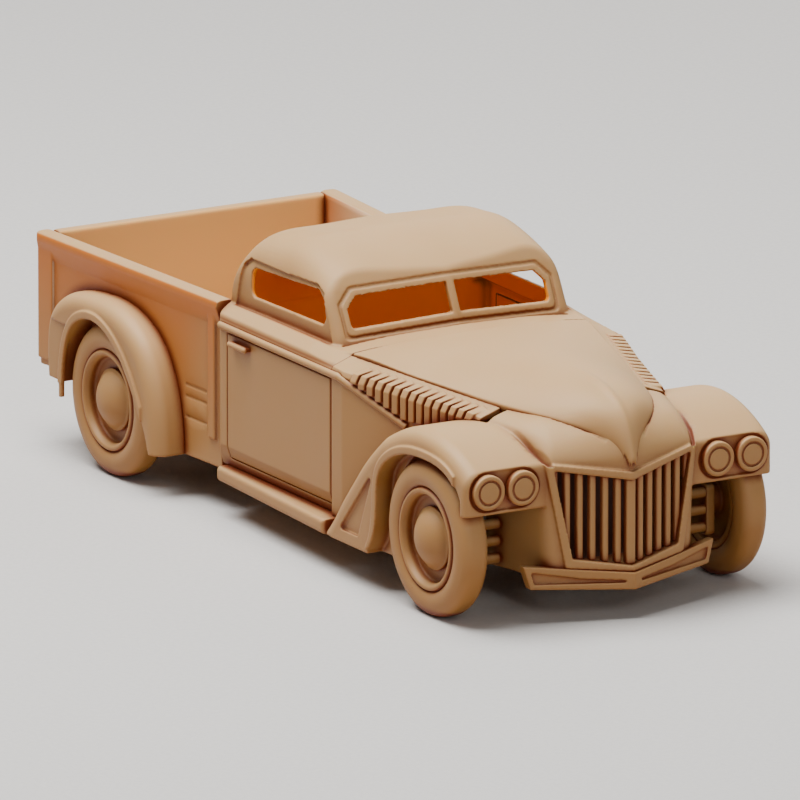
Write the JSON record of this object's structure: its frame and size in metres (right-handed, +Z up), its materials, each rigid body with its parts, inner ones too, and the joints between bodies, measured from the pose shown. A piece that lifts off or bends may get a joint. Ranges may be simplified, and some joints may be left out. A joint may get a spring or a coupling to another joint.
{
  "type": "scale model pickup truck",
  "caption": "Small unglazed resin model of a low custom pickup with a chopped cab, open bed, prow nose, slatted grille and free-turning smooth wheels.",
  "frame": {"origin": "on the floor, under the middle of the model's length and width", "axes": "+X towards the nose, +Y to the truck's left side, +Z up"},
  "size_m": [0.1708, 0.0728, 0.0573],
  "materials": {
    "resin": "matt tan resin"
  },
  "bodies": {
    "chassis": {"bed_floor": "resin", "bed_front_wall": "resin", "bed_side_left": "resin", "bed_side_right": "resin", "belt_moulding_left": "resin", "belt_moulding_right": "resin", "bumper": "resin", "cab_floor": "resin", "cab_shell": "resin", "cowl_side_left": "resin", "cowl_side_right": "resin", "door_handle_left": "resin", "door_handle_right": "resin", "door_left": "resin", "door_right": "resin", "frame_rails": "resin", "front_fender_left": "resin", "front_fender_right": "resin", "front_knuckle_left": "resin", "front_knuckle_right": "resin", "grille_bars": "resin", "grille_rim": "resin", "grille_shell": "resin", "headlamps_left": "resin", "headlamps_right": "resin", "hood": "resin", "hood_side_left": "resin", "hood_side_right": "resin", "radiator": "resin", "rear_axle": "resin", "rear_fender_left": "resin", "rear_fender_right": "resin", "rear_spring_left": "resin", "rear_spring_right": "resin", "running_board_left": "resin", "running_board_right": "resin", "suspension_links_left": "resin", "suspension_links_right": "resin", "tailgate": "resin"},
    "wheel_front_right": {"tyre_front_right": "resin", "rim_front_right": "resin", "hub_cap_front_right": "resin"},
    "wheel_front_left": {"tyre_front_left": "resin", "rim_front_left": "resin", "hub_cap_front_left": "resin"},
    "wheel_rear_right": {"tyre_rear_right": "resin", "rim_rear_right": "resin", "hub_cap_rear_right": "resin"},
    "wheel_rear_left": {"tyre_rear_left": "resin", "rim_rear_left": "resin", "hub_cap_rear_left": "resin"}
  },
  "joints": [
    {"name": "wheel_front_right_spin", "type": "hinge", "parent": "chassis", "child": "wheel_front_right", "pos_m": [0.064, -0.0303, 0.0149], "axis": [0, 1, 0], "continuous": true},
    {"name": "wheel_front_left_spin", "type": "hinge", "parent": "chassis", "child": "wheel_front_left", "pos_m": [0.064, 0.0303, 0.0149], "axis": [0, 1, 0], "continuous": true},
    {"name": "wheel_rear_right_spin", "type": "hinge", "parent": "chassis", "child": "wheel_rear_right", "pos_m": [-0.0545, -0.0321, 0.0149], "axis": [0, 1, 0], "continuous": true},
    {"name": "wheel_rear_left_spin", "type": "hinge", "parent": "chassis", "child": "wheel_rear_left", "pos_m": [-0.0545, 0.0321, 0.0149], "axis": [0, 1, 0], "continuous": true}
  ]
}
